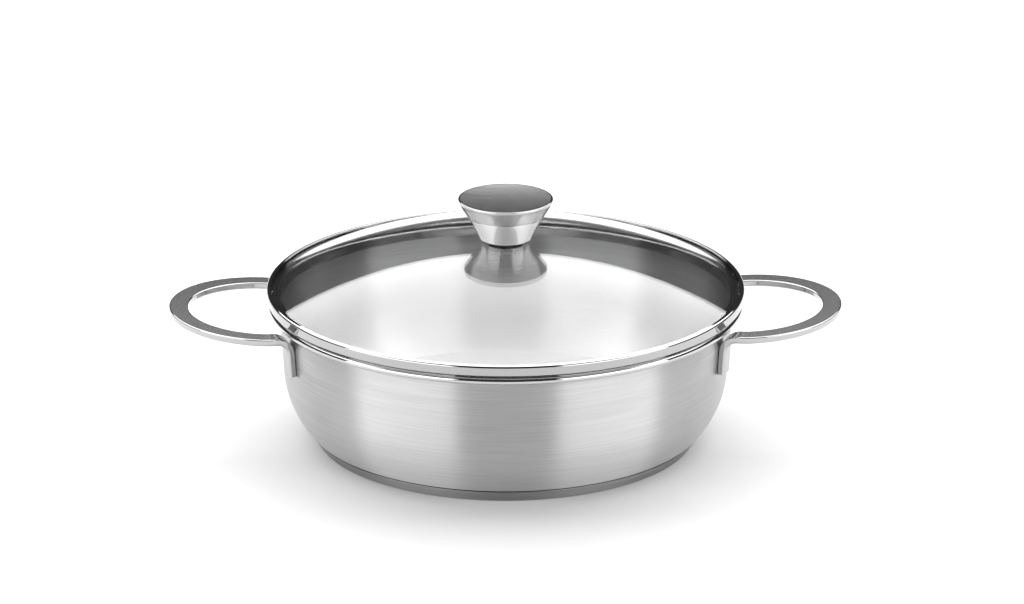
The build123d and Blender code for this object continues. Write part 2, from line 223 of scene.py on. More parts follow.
def draw_section(edges, rounds, closed, least_round=0.1, least_turn=0.02):
    """Points of a section with the directions they face. Rounds has a corner's radius by the
    number of the edge that ends there, and every other corner gets the least round."""
    count = len(edges)
    trim = [[0.0, 0.0] for _ in edges]
    for corner in range(count if closed else count - 1):
        after = (corner + 1) % count
        before_heading = edges[corner][1](edges[corner][0])[1]
        turn = before_heading.angle(edges[after][1](0.0)[1])
        if turn > least_turn:
            run = rounds.get(corner, least_round) * math.tan(turn / 2)
            trim[corner][1] = trim[after][0] = run
    points = []
    for number, (length, at, pieces) in enumerate(edges):
        low, high = trim[number][0], length - trim[number][1]
        spread = [at(low + (high - low) * step / pieces) for step in range(pieces + 1)]
        if points and not trim[number][0]:
            spread = spread[1:]
        points += spread
        if trim[number][1]:
            after = (number + 1) % count
            points += blend_points(*at(high), *edges[after][1](trim[after][0]))
    if closed:
        points.append(points[0])
    return [(point, Vector((heading.y, -heading.x))) for point, heading in points]


right_angle = draw_section(straights((0, 0), (9, 0), (9, 9)), {0: 2}, closed=False)
print("a rounded right angle has", len(right_angle), "points")

# %% [markdown]
# ## Turning a section
#
# A lathe or a spinning chuck makes a round piece from one section. The tree does the same:
# it lays a grid with one row for each step around and one column for each point of the
# section, looks up the section's point and facing for every grid point, and turns both about
# the axis. Rows that meet and points on the axis are merged, so seams and poles are closed.

# %% Helpers that add nodes
def set_sockets(tree, node, values):
    """Gives named sockets of a node a value or a link. A node given as a value stands for its
    first output that is in use."""
    for name, value in values.items():
        if isinstance(value, bpy.types.Node):
            value = next(output for output in value.outputs if output.enabled)
        if isinstance(value, bpy.types.NodeSocket):
            tree.links.new(value, node.inputs[name])
        else:
            node.inputs[name].default_value = value


def add_node(tree, kind, sockets=None, **settings):
    """Adds a node, sets its properties, and gives named sockets a value or a link."""
    node = tree.nodes.new(kind)
    for name, value in settings.items():
        setattr(node, name, value)
    set_sockets(tree, node, sockets or {})
    return node


def new_tree(name, inputs):
    """A Geometry Nodes tree with geometry in and out, and named inputs."""
    tree = bpy.data.node_groups.new(name, "GeometryNodeTree")
    for label, kind in {"Geometry": "NodeSocketGeometry", **inputs}.items():
        tree.interface.new_socket(name=label, in_out="INPUT", socket_type=kind)
    tree.interface.new_socket(name="Geometry", in_out="OUTPUT", socket_type="NodeSocketGeometry")
    return tree, add_node(tree, "NodeGroupInput").outputs


def end_tree(tree, geometry, finish):
    """Ends a tree with smooth shading, real geometry, a finish and the output."""
    smooth = add_node(tree, "GeometryNodeSetShadeSmooth", {"Geometry": geometry})
    real = add_node(tree, "GeometryNodeRealizeInstances", {"Geometry": smooth})
    finished = add_node(tree, "GeometryNodeSetMaterial", {"Geometry": real, "Material": finish})
    add_node(tree, "NodeGroupOutput", {"Geometry": finished})
    print(tree.name, "has", len(tree.nodes), "nodes")


# %% The tree that turns a section
merge_distance = 1e-6
turning_tree, given = new_tree(
    "Turned piece", {"Steps around": "NodeSocketInt", "Finish": "NodeSocketMaterial"}
)
tree, steps = turning_tree, given["Steps around"]
count = add_node(tree, "GeometryNodeAttributeDomainSize", {"Geometry": given["Geometry"]})
rows = add_node(tree, "FunctionNodeIntegerMath", {0: steps, 1: 1}, operation="ADD")
grid = add_node(tree, "GeometryNodeMeshGrid", {"Vertices X": rows, "Vertices Y": count})
index = add_node(tree, "GeometryNodeInputIndex")
row = add_node(tree, "FunctionNodeIntegerMath", {0: index, 1: count}, operation="DIVIDE_FLOOR")
column = add_node(tree, "FunctionNodeIntegerMath", {0: index, 1: count}, operation="MODULO")
wrapped = add_node(tree, "FunctionNodeIntegerMath", {0: row, 1: steps}, operation="MODULO")
one_step = add_node(tree, "ShaderNodeMath", {0: math.tau, 1: steps}, operation="DIVIDE")
angle = add_node(tree, "ShaderNodeMath", {0: wrapped, 1: one_step}, operation="MULTIPLY")
turn = add_node(tree, "FunctionNodeAxisAngleToRotation", {"Axis": (0, 0, 1), "Angle": angle})
place = add_node(tree, "GeometryNodeInputPosition")
facing = add_node(
    tree, "GeometryNodeInputNamedAttribute", {"Name": "facing"}, data_type="FLOAT_VECTOR"
)
turned = []
for value in (place, facing):
    looked_up = add_node(
        tree,
        "GeometryNodeSampleIndex",
        {"Geometry": given["Geometry"], "Value": value, "Index": column},
        data_type="FLOAT_VECTOR",
    )
    turned.append(
        add_node(tree, "FunctionNodeRotateVector", {"Vector": looked_up, "Rotation": turn})
    )
placed = add_node(tree, "GeometryNodeSetPosition", {"Geometry": grid, "Position": turned[0]})
with_facing = add_node(
    tree,
    "GeometryNodeStoreNamedAttribute",
    {"Geometry": placed, "Name": "facing", "Value": turned[1]},
    data_type="FLOAT_VECTOR",
)
with_map = add_node(
    tree,
    "GeometryNodeStoreNamedAttribute",
    {"Geometry": with_facing, "Name": "UVMap", "Value": grid.outputs["UV Map"]},
    data_type="FLOAT2",
    domain="CORNER",
)
merged = add_node(
    tree, "GeometryNodeMergeByDistance", {"Geometry": with_map, "Distance": merge_distance}
)
end_tree(tree, merged, given["Finish"])

# %% [markdown]
# ## From a tree to a finished piece
#
# The tree runs on a thin chain of points. Its result is copied to a plain mesh, which takes
# the stored facings as its normals. A cap with many corners, such as a bar's cut end, is flat
# and keeps its own normal. The piece then rides on its body in place of the CAD nodes.

# %% Helpers that finish a piece
vessel_steps, cap_steps, knob_steps, seal_steps = 288, 256, 192, 128


def make_chain(name, points, vectors):
    """A chain of points and edges, with a named vector on each point."""
    mesh = bpy.data.meshes.new(name)
    mesh.from_pydata([tuple(p) for p in points], [(n, n + 1) for n in range(len(points) - 1)], [])
    for label, values in vectors.items():
        attribute = mesh.attributes.new(label, "FLOAT_VECTOR", "POINT")
        attribute.data.foreach_set("vector", [part for value in values for part in value])
    chain = bpy.data.objects.new(name, mesh)
    bpy.context.scene.collection.objects.link(chain)
    return chain


def run_tree(chain, tree, values):
    """Runs a tree on a chain with values for its inputs, and gives the result's mesh."""
    modifier = chain.modifiers.new("Tree", "NODES")
    modifier.node_group = tree
    for item in tree.interface.items_tree:
        if item.in_out == "INPUT" and item.name in values:
            modifier[item.identifier] = values[item.name]
    evaluated = chain.evaluated_get(bpy.context.evaluated_depsgraph_get())
    mesh = bpy.data.meshes.new_from_object(evaluated)
    chain.modifiers.clear()
    bpy.data.objects.remove(chain)
    return mesh


def set_normals(mesh):
    """Gives the mesh the stored facings as normals, except on flat cut ends."""
    values = [0.0] * (len(mesh.vertices) * 3)
    mesh.attributes["facing"].data.foreach_get("vector", values)
    normals = []
    for polygon in mesh.polygons:
        for vertex in polygon.vertices:
            stored = Vector(values[vertex * 3 : vertex * 3 + 3]).normalized()
            normals.append(polygon.normal.copy() if polygon.loop_total > 4 else stored)
    mesh.normals_split_custom_set(normals)
    mesh.attributes.remove(mesh.attributes["facing"])


def finish_piece(name, mesh, body, slot, *nodes):
    """Puts a mesh in the scene as a piece that rides on a body in place of CAD nodes."""
    mesh.name = name
    set_normals(mesh)
    piece = bpy.data.objects.new(name, mesh)
    bpy.context.scene.collection.objects.link(piece)
    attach(piece, body)
    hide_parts(*nodes)
    triangles = sum(polygon.loop_total - 2 for polygon in mesh.polygons)
    print(f"{name}: {triangles} triangles")


def turn_piece(name, section, steps, material, body, slot, *nodes):
    """Turns a section in millimetres into a finished piece."""
    points = [(p.x * MM, 0, p.y * MM) for p, _ in section]
    facings = [(f.x, 0, f.y) for _, f in section]
    chain = make_chain(name + "_section", points, {"facing": facings})
    mesh = run_tree(chain, turning_tree, {"Steps around": steps, "Finish": material})
    finish_piece(name, mesh, body, slot, *nodes)


# %% [markdown]
# ## Steel finishes
#
# All the steel is the same 18/10 stainless alloy, a neutral grey metal. What the eye tells
# apart is how each surface was worked:
#
# - brushed: a belt leaves fine lines. Along a line the metal mirrors, across it the light
#   spreads, so a reflection smears into a streak at right angles to the lines.
# - satin: a fine, even grain spreads the light every way.
# - polished: a buffed mirror, with a faint waviness from the forming.
#
# Each finish is a pattern that varies the metal's colour and roughness a little. Where a
# surface is buffed afterwards, a mask lays the polish over it.

# %% Colours, patterns and finishes
def colour(code):
    """An sRGB hex code as linear values with full alpha."""
    parts = [int(code[n : n + 2], 16) / 255 for n in (1, 3, 5)]
    return (*[p / 12.92 if p <= 0.04045 else ((p + 0.055) / 1.055) ** 2.4 for p in parts], 1.0)


def new_material(name):
    """A material with an empty tree, its Principled shader and its output, and the object's
    own coordinates."""
    material = bpy.data.materials.new(name)
    material.use_nodes = True
    tree = material.node_tree
    tree.nodes.clear()
    shader = add_node(tree, "ShaderNodeBsdfPrincipled")
    add_node(tree, "ShaderNodeOutputMaterial", {"Surface": shader})
    return material, tree, shader, add_node(tree, "ShaderNodeTexCoord").outputs["Object"]


def grain(tree, where, scale, detail, roughness=0.5):
    """Noise with a scale for each direction. It stays near its middle, so it is stretched to
    fill 0 to 1."""
    scaled = add_node(tree, "ShaderNodeVectorMath", {0: where, 1: scale}, operation="MULTIPLY")
    sockets = {"Vector": scaled, "Scale": 1.0, "Detail": detail, "Roughness": roughness}
    noise = add_node(tree, "ShaderNodeTexNoise", sockets)
    sockets = {"Value": noise, "From Min": 0.25, "From Max": 0.75}
    return add_node(tree, "ShaderNodeMapRange", sockets, clamp=False)


def even(size_mm):
    """The scale of a grain of one size in every direction."""
    return [1 / (size_mm * MM)] * 3


def radius_and_height(tree, where):
    """A point's distance from the axis, and its height."""
    flat = add_node(tree, "ShaderNodeVectorMath", {0: where, 1: (1, 1, 0)}, operation="MULTIPLY")
    radius = add_node(tree, "ShaderNodeVectorMath", {0: flat}, operation="LENGTH")
    height = add_node(tree, "ShaderNodeSeparateXYZ", {0: where})
    return radius.outputs["Value"], height.outputs["Z"]


def turned_lines(tree, where, along_mm, across_mm):
    """Brush lines that run around the axis, with a mean length and a spacing."""
    across = add_node(
        tree, "ShaderNodeMath", dict(enumerate(radius_and_height(tree, where))), operation="ADD"
    )
    part = add_node(tree, "ShaderNodeSeparateXYZ", {0: where}).outputs
    place = add_node(tree, "ShaderNodeCombineXYZ", {"X": part["X"], "Y": part["Y"], "Z": across})
    along = 1 / (along_mm * MM)
    return grain(tree, place, (along, along, 1 / (across_mm * MM)), 3.0, 0.6)


def two_tone(tree, pattern, tints, roughs):
    """Sockets of a surface whose colour and roughness follow a pattern. Each pair has the
    values where the pattern is 0 and where it is 1."""
    low, high = map(colour, tints)
    return {
        "Base Color": add_node(
            tree, "ShaderNodeMix", {0: pattern, 6: low, 7: high}, data_type="RGBA"
        ),
        "Roughness": add_node(
            tree, "ShaderNodeMix", {0: pattern, "A": roughs[0], "B": roughs[1]}
        ),
    }


def buff(tree, finish, mask, rough, tint=None):
    """Lays a smoother finish, and a tint if one is given, over another where a mask is 1."""
    roughs = {0: mask, "A": finish["Roughness"], "B": rough}
    finish["Roughness"] = add_node(tree, "ShaderNodeMix", roughs)
    if tint:
        tints = {0: mask, 6: finish["Base Color"], 7: colour(tint)}
        finish["Base Color"] = add_node(tree, "ShaderNodeMix", tints, data_type="RGBA")


print("a middle grey is", [round(c, 3) for c in colour("#808080")[:3]])

# %% [markdown]
# ### Brushed vessel
#
# The vessel is 18/10 stainless steel, brushed on a turning chuck inside and out, so its lines
# run around the axis, about 0.2 mm apart. That is too fine for the picture, so they are drawn
# 0.4 mm apart with broader bands over them. The lines spread light up and down the wall, which
# draws its tall bright zones. The rolled rim is buffed bright after brushing.

# %% Brushed stainless steel for the vessel
buff_start, buff_full = 69.8, 70.4


def make_vessel_steel():
    material, tree, shader, where = new_material("Brushed stainless steel")
    fine, broad = turned_lines(tree, where, 40, 0.4), turned_lines(tree, where, 90, 1.6)
    lines = add_node(tree, "ShaderNodeMix", {0: 0.25, "A": fine, "B": broad})
    rim = add_node(
        tree,
        "ShaderNodeMapRange",
        {
            "Value": radius_and_height(tree, where)[1],
            "From Min": buff_start * MM,
            "From Max": buff_full * MM,
        },
        interpolation_type="SMOOTHSTEP",
    )
    finish = two_tone(tree, lines, ("#BEBEBE", "#D8D8D8"), (0.41, 0.37))
    buff(tree, finish, rim, 0.07)
    relief = {"Strength": 0.05, "Distance": 0.03 * MM, "Height": lines}
    finish |= {
        "Metallic": 1.0,
        "Anisotropic": 1.0,
        "Anisotropic Rotation": 0.25,
        "Normal": add_node(tree, "ShaderNodeBump", relief),
        "Tangent": add_node(tree, "ShaderNodeTangent", direction_type="UV_MAP", uv_map="UVMap"),
    }
    set_sockets(tree, shader, finish)
    return material


vessel_steel = make_vessel_steel()
print(vessel_steel.name, "has", len(vessel_steel.node_tree.nodes), "nodes")

# %% [markdown]
# ### Polished steel
#
# The lid's band and the knob's cone are buffed to a mirror. Rolling and spinning leave the
# sheet very slightly wavy, which makes the thin lines reflected in it wander. A slow noise in
# the normals gives that, and a trace of fine grain keeps the mirror from looking like chrome.

# %% Polished stainless steel
def make_polished_steel(name, tints, rough, wave_mm, wave_height_mm):
    material, tree, shader, where = new_material(name)
    wave = grain(tree, where, even(wave_mm), 1.0, 0.4)
    finish = two_tone(
        tree, grain(tree, where, even(0.8), 2.0), tints, (rough * 0.8, rough * 1.3)
    )
    relief = {"Strength": 1.0, "Distance": wave_height_mm * MM, "Height": wave}
    finish |= {"Metallic": 1.0, "Normal": add_node(tree, "ShaderNodeBump", relief)}
    set_sockets(tree, shader, finish)
    return material


band_steel = make_polished_steel(
    "Polished stainless steel, rolled",
    ("#B2B2B2", "#BABABA"),
    rough=0.04,
    wave_mm=30,
    wave_height_mm=0.006,
)
# The cone's light tints are painted light: it is coloured brighter than the band for the bright
# lid that it mirrors.
skirt_steel = make_polished_steel(
    "Polished stainless steel, spun",
    ("#DBDBDB", "#E0E0E0"),
    rough=0.09,
    wave_mm=14,
    wave_height_mm=0.005,
)
print(band_steel.name, "and", skirt_steel.name)

# %% [markdown]
# ### Brushed dish, satin base and handles
#
# The knob's dish is brushed in straight lines from side to side, drawn 0.9 mm apart with
# broader bands, and its rolled edge is buffed. The base cap is turned to a satin; its dark
# colour is painted shade for the floor's shadow that it mirrors. The handles' bar was ground
# before it was bent: its flat faces keep a satin, coloured darker as painted shade of the dark
# studio that they mirror, while the tumbled edges are bright. The bar's tree marks the edges,
# so one material has both.

# %% Straight brushed steel for the knob's dish
flattest_edge = 0.9


def make_dish_steel():
    material, tree, shader, where = new_material("Straight brushed stainless steel")
    bands = []
    for along_mm, across_mm in ((14, 0.9), (30, 3.4)):
        along = 1 / (along_mm * MM)
        bands.append(grain(tree, where, (along, 1 / (across_mm * MM), along), 3.0, 0.6))
    lines = add_node(tree, "ShaderNodeMix", {0: 0.7, "A": bands[0], "B": bands[1]})
    normal = add_node(tree, "ShaderNodeNewGeometry").outputs["Normal"]
    level = add_node(tree, "ShaderNodeSeparateXYZ", {0: normal}).outputs["Z"]
    steep = add_node(tree, "ShaderNodeMath", {0: level, 1: flattest_edge}, operation="LESS_THAN")
    radius = radius_and_height(tree, where)[0]
    outer = add_node(
        tree, "ShaderNodeMath", {0: radius, 1: dish_edge.x * MM}, operation="GREATER_THAN"
    )
    edge = add_node(tree, "ShaderNodeMath", {0: steep, 1: outer}, operation="MAXIMUM")
    finish = two_tone(tree, lines, ("#8C8C8C", "#E2E2E2"), (0.21, 0.13))
    buff(tree, finish, edge, 0.07, "#BEBEBE")
    relief = {"Strength": 0.6, "Distance": 0.03 * MM, "Height": lines}
    finish |= {
        "Metallic": 1.0,
        "Anisotropic": 0.6,
        "Normal": add_node(tree, "ShaderNodeBump", relief),
        "Tangent": add_node(tree, "ShaderNodeCombineXYZ", {"Y": 1.0}),
    }
    set_sockets(tree, shader, finish)
    return material


dish_steel = make_dish_steel()


# %% Satin stainless steel for the base cap
def make_base_steel():
    material, tree, shader, where = new_material("Satin turned stainless steel")
    lines = turned_lines(tree, where, 45, 0.6)
    relief = {"Strength": 0.05, "Distance": 0.025 * MM, "Height": lines}
    # The cap's dark tints are painted shade for the floor's shadow that the cap mirrors.
    finish = two_tone(tree, lines, ("#8C8C8C", "#AEAEAE"), (0.50, 0.42))
    finish |= {
        "Metallic": 1.0,
        "Anisotropic": 0.9,
        "Anisotropic Rotation": 0.25,
        "Normal": add_node(tree, "ShaderNodeBump", relief),
        "Tangent": add_node(tree, "ShaderNodeTangent", direction_type="UV_MAP", uv_map="UVMap"),
    }
    set_sockets(tree, shader, finish)
    return material


base_steel = make_base_steel()


# %% Ground and tumbled stainless steel for the handles
def make_handle_steel():
    material, tree, shader, where = new_material("Ground and tumbled stainless steel")
    ground = grain(tree, where, even(1.1), 1.0)
    edge = add_node(tree, "ShaderNodeAttribute", attribute_name="rounded_edge").outputs["Fac"]
    # The flat faces' darker tints are painted shade for the dark studio that they mirror.
    finish = two_tone(tree, ground, ("#A5A5A5", "#ABABAB"), (0.235, 0.225))
    buff(tree, finish, edge, 0.08, "#BEBEBE")
    relief = {"Strength": 0.02, "Distance": 0.0025 * MM, "Height": ground}
    finish |= {"Metallic": 1.0, "Normal": add_node(tree, "ShaderNodeBump", relief)}
    set_sockets(tree, shader, finish)
    return material


handle_steel = make_handle_steel()
print(dish_steel.name, "|", base_steel.name, "|", handle_steel.name)

# %% [markdown]
# ### Glass, silicone and the hidden fixing
#
# The pane is clear toughened soda-lime glass, whose faces keep a trace of waviness from the
# rollers. The seals are matt silicone rubber. The insert, washer and screw are plain machined
# stainless steel. The rolled aluminium disc in the base is coloured near black: painted shade
# for the fine groove between the cap and the vessel.

# %% Toughened glass
def make_glass():
    material, tree, shader, where = new_material("Toughened soda-lime glass")
    roller = grain(tree, where, even(60), 1.0)
    tints = {0: roller, 6: colour("#FCFCFC"), 7: colour("#FDFDFD")}
    relief = {"Strength": 1.0, "Distance": 0.005 * MM, "Height": roller}
    glass = {
        "Base Color": add_node(tree, "ShaderNodeMix", tints, data_type="RGBA"),
        "Roughness": 0.0,
        "IOR": 1.52,
        "Transmission Weight": 1.0,
        "Normal": add_node(tree, "ShaderNodeBump", relief),
    }
    set_sockets(tree, shader, glass)
    return material


lid_glass = make_glass()


# %% Silicone, machined steel and aluminium
def make_grained(name, tints, roughs, metallic, grain_mm):
    """A finish of two close colours mixed by a fine grain, which also varies its roughness."""
    material, tree, shader, where = new_material(name)
    pattern = grain(tree, where, even(grain_mm), 3.0)
    relief = {"Strength": 0.1, "Distance": 0.025 * MM, "Height": pattern}
    finish = two_tone(tree, pattern, tints, roughs)
    finish |= {"Metallic": metallic, "Normal": add_node(tree, "ShaderNodeBump", relief)}
    set_sockets(tree, shader, finish)
    return material


silicone = make_grained("Matt silicone rubber", ("#1F1F21", "#272729"), (0.55, 0.7), 0.0, 0.4)
machined_steel = make_grained(
    "Machined stainless steel", ("#B9B8B6", "#C2C1BF"), (0.22, 0.34), 1.0, 0.3
)
# The disc's near-black colour is painted shade for the groove in front of it.
aluminium = make_grained(
    "Rolled aluminium painted dark as groove shade", ("#414143", "#4A4A4C"), (0.5, 0.65), 1.0, 0.8
)
print(silicone.name, "|", machined_steel.name, "|", aluminium.name)

# %% [markdown]
# ## The vessel
#
# The vessel is drawn from one disc of sheet: a flat floor, a wide belly curve, a straight
# wall that leans out a little, and a rolled rim. The sheet bends outwards to a crest, which
# carries the lid, falls away from it and ends in a tight curl, the bright bead just under
# the lid's band. The section runs out along the underside, up the outside, round the curl
# and back down the inside.

# %% Turn the vessel
heel_round, lip_edge_round = 2.5, 0.4
vessel_section = draw_section(
    [
        straight(outside["axis"], outside["heel"]),
        bowed(outside["heel"], outside["belly_top"], belly_centre),
        straight(outside["belly_top"], outside["root"]),
        bowed(outside["root"], outside["crest"], bend_out_centre),
        bowed(outside["crest"], outside["fall"], crest_centre),
        bowed(outside["fall"], outside["curl_end"], curl_centre),
        straight(outside["curl_end"], inside["curl_end"]),
        bowed(inside["curl_end"], inside["fall"], curl_centre),
        bowed(inside["fall"], inside["crest"], crest_centre),
        bowed(inside["crest"], inside["root"], bend_out_centre),
        straight(inside["root"], inside["belly_top"]),
        bowed(inside["belly_top"], inside["heel"], belly_centre),
        straight(inside["heel"], inside["axis"]),
    ],
    {0: heel_round, 5: lip_edge_round, 6: lip_edge_round, 11: heel_round - vessel_sheet},
    closed=False,
)
turn_piece("vessel", vessel_section, vessel_steps, vessel_steel, "pot", "vessel_steel", "pot_body")

# %% [markdown]
# ## The base
#
# An aluminium disc under the floor spreads the heat. A thin steel cap closes it in, and stops
# half a millimetre short of the vessel, which draws the fine groove near the bottom of the
# photograph. The groove is dark partly from painted shade: the disc behind it is coloured near
# black.

# %% Turn the base cap
cap_round, cut_round = 1.4, 0.2
cap_lean = math.atan2(cap_top_radius - cap_bottom_radius, cap_height)


def cap_inner_radius(height):
    """Inner radius of the cap's leaning side at a height."""
    return cap_bottom_radius + height * math.tan(cap_lean) - cap_sheet / math.cos(cap_lean)


cap_section = draw_section(
    straights(
        (0, 0),
        (cap_bottom_radius, 0),
        (cap_top_radius, cap_height),
        (cap_inner_radius(cap_height), cap_height),
        (cap_inner_radius(cap_sheet), cap_sheet),
        (0, cap_sheet),
    ),
    {0: cap_round, 1: cut_round, 2: cut_round, 3: cap_round - cap_sheet},
    closed=False,
)
turn_piece("base_cap_skin", cap_section, cap_steps, base_steel, "pot", "base_steel", "base_cap")

# %% [markdown]
# ## The handles
#
# Each handle is one flat bar. It leaves the wall as an upright tab, bends outwards, runs round
# a ring and comes back the same way. The ring rises about three degrees to its tip. The path
# is drawn first, with the direction that the bar's top faces at each point. Going down the
# tab, the top face turns towards the wall, where it is welded.

# %% The path of a handle
bar_width, bar_thickness, bar_top_round, bar_under_round = 9.8, 3.8, 0.6, 1.5
ring_radius, ring_reach, ring_drop = 43.8, 7.95, 6.75
ring_distance, ring_height = rim_root.x + ring_reach, rim_root.y - ring_drop
handle_rise, bend_radius, tab_length = math.radians(3.1), 7.4, 12.6
weld_gap, tab_bite = 0.1, 0.25
tab_steps, bend_steps, leg_steps, ring_steps = 4, 16, 24, 48
bend_angle = math.pi / 2 - handle_rise - taper
bend_run, bend_drop = bend_radius * math.sin(bend_angle), bend_radius * (1 - math.cos(bend_angle))
tab_middle = weld_gap - tab_bite + bar_thickness / 2
leg_end = wall_radius_at(ring_height - bend_drop) + tab_middle + bend_run
leg_turn = 2 * math.atan2(ring_radius, ring_distance + leg_end)


def half_path():
    """Points, headings and top directions of one half of the bar, in the ring's plane: up
    the tab, round the bend, along the leg and round the ring to its tip."""
    out = Vector((math.cos(leg_turn), math.sin(leg_turn), 0))
    down = Vector((0, 0, -1))
    bend_start = out * leg_end
    points = []
    for step in range(-tab_steps, bend_steps + 1):
        angle = bend_angle * (1 - max(step, 0) / bend_steps)
        heading = out * math.cos(angle) - down * math.sin(angle)
        top = -out * math.sin(angle) - down * math.cos(angle)
        point = bend_start + (down * (1 - math.cos(angle)) - out * math.sin(angle)) * bend_radius
        if step < 0:
            point = point + heading * tab_length * (step / tab_steps)
        points.append((point, top))
    tip = Vector((ring_distance, ring_radius, 0))
    side = Vector((-out.y, out.x, 0))
    chord = tip - bend_start
    leg_radius = chord.length_squared / (2 * chord.dot(side))
    centre = bend_start + side * leg_radius
    sweep = math.copysign(2 * math.asin(chord.length / (2 * abs(leg_radius))), leg_radius)
    for step in range(1, leg_steps + 1):
        arm = Matrix.Rotation(sweep * step / leg_steps, 3, "Z") @ (bend_start - centre)
        points.append((centre + arm, Vector((0, 0, 1))))
    for step in range(1, ring_steps + 1):
        angle = math.pi / 2 * (1 - step / ring_steps)
        around = Vector((math.cos(angle), math.sin(angle), 0)) * ring_radius
        points.append((Vector((ring_distance, 0, 0)) + around, Vector((0, 0, 1))))
    return points


def whole_path(direction):
    """The bar's middle line in metres and its top directions, on the side that the direction,
    1 or -1, points to."""
    half = half_path()
    mirrored = [(Vector((p.x, -p.y, p.z)), Vector((t.x, -t.y, t.z))) for p, t in half[-2::-1]]
    tilt = Matrix.Rotation(-handle_rise, 3, "Y")
    start = Vector((0, 0, ring_height - ring_distance * math.tan(handle_rise)))
    flip = Matrix.Diagonal((direction, 1, 1))
    points = [flip @ (tilt @ p + start) for p, _ in half + mirrored]
    tops = [flip @ (tilt @ t) for _, t in half + mirrored]
    if direction < 0:
        points, tops = points[::-1], tops[::-1]
    return [p * MM for p in points], tops


path_points, path_tops = whole_path(1)
print("tip at", [round(v, 4) for v in max(path_points, key=lambda p: p.x)], "m")

# %% [markdown]
# The second tree bends the bar. It turns the path into a curve, gives the curve the top
# directions as its normals, rounds a rectangle's corners more below than above, and sweeps it
# along. Each point's facing is worked out from its corner's centre, and all but the flat top
# and bottom is marked as rounded edge for the material.

# %% The tree that bends the bar
flat_share = 0.995
bar_tree, given = new_tree(
    "Bent flat bar",
    {
        "Width": "NodeSocketFloat",
        "Thickness": "NodeSocketFloat",
        "Top round": "NodeSocketFloat",
        "Under round": "NodeSocketFloat",
        "Finish": "NodeSocketMaterial",
    },
)
tree = bar_tree
named = {}
for label in ("across", "top", "heading"):
    named[label] = add_node(
        tree, "GeometryNodeInputNamedAttribute", {"Name": label}, data_type="FLOAT_VECTOR"
    )
rail = add_node(tree, "GeometryNodeMeshToCurve", {0: given["Geometry"]})
held = add_node(
    tree, "GeometryNodeSetCurveNormal", {"Curve": rail, "Normal": named["top"]}, mode="FREE"
)
heading = add_node(tree, "GeometryNodeInputTangent")
with_heading = add_node(
    tree,
    "GeometryNodeStoreNamedAttribute",
    {"Geometry": held, "Name": "heading", "Value": heading},
    data_type="FLOAT_VECTOR",
)
outline = add_node(
    tree,
    "GeometryNodeCurvePrimitiveQuadrilateral",
    {"Width": given["Thickness"], "Height": given["Width"]},
)
spot = add_node(tree, "GeometryNodeInputPosition")
spot_x = add_node(tree, "ShaderNodeSeparateXYZ", {0: spot}).outputs["X"]
is_top = add_node(tree, "FunctionNodeCompare", {"A": spot_x, "B": 0.0}, operation="GREATER_THAN")
corner_round = add_node(
    tree,
    "GeometryNodeSwitch",
    {"Switch": is_top, "False": given["Under round"], "True": given["Top round"]},
    input_type="FLOAT",
)
rounded = add_node(
    tree,
    "GeometryNodeFilletCurve",
    {"Curve": outline, "Count": 9, "Radius": corner_round, "Limit Radius": True},
    mode="POLY",
)
size = add_node(tree, "ShaderNodeCombineXYZ", {"X": given["Thickness"], "Y": given["Width"]})
halved = add_node(tree, "ShaderNodeVectorMath", {0: size, "Scale": 0.5}, operation="SCALE")
inset = add_node(tree, "ShaderNodeCombineXYZ", {"X": corner_round, "Y": corner_round})
reach = add_node(tree, "ShaderNodeVectorMath", {0: halved, 1: inset}, operation="SUBTRACT")
signs = add_node(tree, "ShaderNodeVectorMath", {0: spot}, operation="SIGN")
corner = add_node(tree, "ShaderNodeVectorMath", {0: signs, 1: reach}, operation="MULTIPLY")
away = add_node(tree, "ShaderNodeVectorMath", {0: spot, 1: corner}, operation="SUBTRACT")
across = add_node(tree, "ShaderNodeVectorMath", {0: away}, operation="NORMALIZE")
profile = add_node(
    tree,
    "GeometryNodeStoreNamedAttribute",
    {"Geometry": rounded, "Name": "across", "Value": across},
    data_type="FLOAT_VECTOR",
)
bar = add_node(
    tree,
    "GeometryNodeCurveToMesh",
    {"Curve": with_heading, "Profile Curve": profile, "Fill Caps": True},
)
side = add_node(
    tree, "ShaderNodeVectorMath", {0: named["heading"], 1: named["top"]}, operation="CROSS_PRODUCT"
)
share = add_node(tree, "ShaderNodeSeparateXYZ", {0: named["across"]}).outputs
up_share = add_node(
    tree, "ShaderNodeVectorMath", {0: named["top"], "Scale": share["X"]}, operation="SCALE"
)
side_share = add_node(
    tree, "ShaderNodeVectorMath", {0: side, "Scale": share["Y"]}, operation="SCALE"
)
faced = add_node(tree, "ShaderNodeVectorMath", {0: up_share, 1: side_share}, operation="ADD")
with_facing = add_node(
    tree,
    "GeometryNodeStoreNamedAttribute",
    {"Geometry": bar, "Name": "facing", "Value": faced},
    data_type="FLOAT_VECTOR",
)
flatness = add_node(tree, "ShaderNodeMath", {0: share["X"]}, operation="ABSOLUTE")
is_edge = add_node(
    tree, "FunctionNodeCompare", {"A": flatness, "B": flat_share}, operation="LESS_EQUAL"
)
marked = add_node(
    tree,
    "GeometryNodeStoreNamedAttribute",
    {"Geometry": with_facing, "Name": "rounded_edge", "Value": is_edge},
    data_type="FLOAT",
)
end_tree(tree, marked, given["Finish"])

